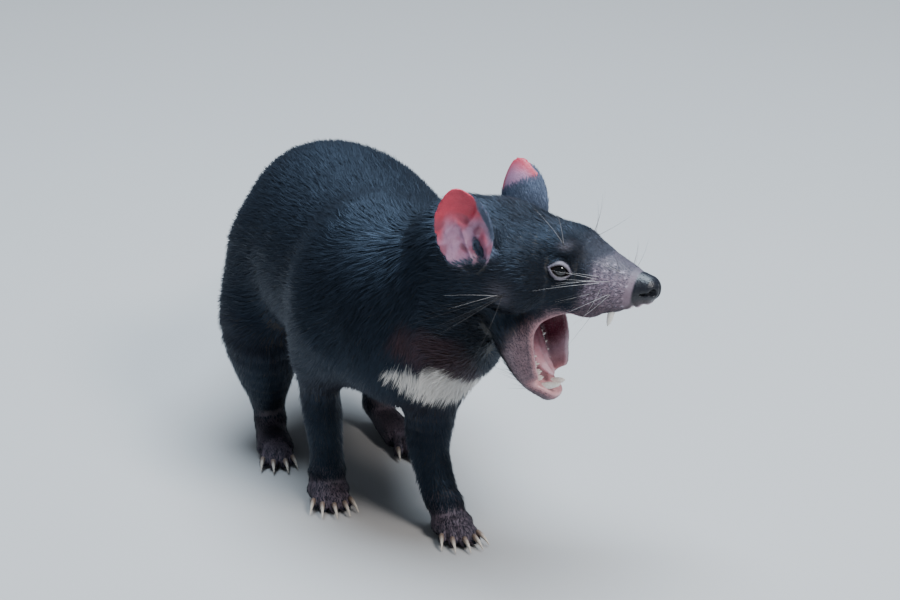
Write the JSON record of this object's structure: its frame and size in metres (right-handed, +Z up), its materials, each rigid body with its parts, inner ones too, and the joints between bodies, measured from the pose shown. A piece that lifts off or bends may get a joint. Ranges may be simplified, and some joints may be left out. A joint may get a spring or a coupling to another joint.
{
  "type": "tasmanian devil",
  "caption": "Life-size still model of a Tasmanian devil, standing on four feet with its head turned to its left and its jaws wide open.",
  "frame": {"origin": "on the floor under the middle of the object's box", "axes": "+Z up; the animal faces -Y, its tail points to +Y and its left side is +X"},
  "size_m": [0.2322, 0.6306, 0.2854],
  "materials": {
    "fur": "short dense fur, near black",
    "foot_skin": "bare purplish skin under thin hair",
    "nose": "moist, glossy",
    "eye": "wet, very glossy",
    "ear_skin": "thin bare skin",
    "tongue": "moist",
    "claw_and_tooth": "horn, and the enamel of the teeth"
  },
  "bodies": {
    "root": {"head": "fur", "lower_jaw": "fur", "nose_pad": "nose", "fore_foot_right": "foot_skin", "fore_foot_left": "foot_skin", "hind_foot_right": "foot_skin", "hind_foot_left": "foot_skin", "forearm_left": "fur", "upper_arm_left": "fur", "shank_left": "fur", "thigh_left": "fur", "forearm_right": "fur", "upper_arm_right": "fur", "shank_right": "fur", "thigh_right": "fur", "tail": "fur", "neck": "fur", "trunk": "fur", "ear_right": "ear_skin", "ear_left": "ear_skin", "eye_left": "eye", "eye_right": "eye", "tongue": "tongue", "fore_claw_right_1": "claw_and_tooth", "fore_claw_right_2": "claw_and_tooth", "fore_claw_right_3": "claw_and_tooth", "fore_claw_right_4": "claw_and_tooth", "fore_claw_right_5": "claw_and_tooth", "fore_claw_left_1": "claw_and_tooth", "fore_claw_left_2": "claw_and_tooth", "fore_claw_left_3": "claw_and_tooth", "fore_claw_left_4": "claw_and_tooth", "fore_claw_left_5": "claw_and_tooth", "hind_claw_right_1": "claw_and_tooth", "hind_claw_right_2": "claw_and_tooth", "hind_claw_right_3": "claw_and_tooth", "hind_claw_right_4": "claw_and_tooth", "hind_claw_left_1": "claw_and_tooth", "hind_claw_left_2": "claw_and_tooth", "hind_claw_left_3": "claw_and_tooth", "hind_claw_left_4": "claw_and_tooth"}
  },
  "joints": []
}
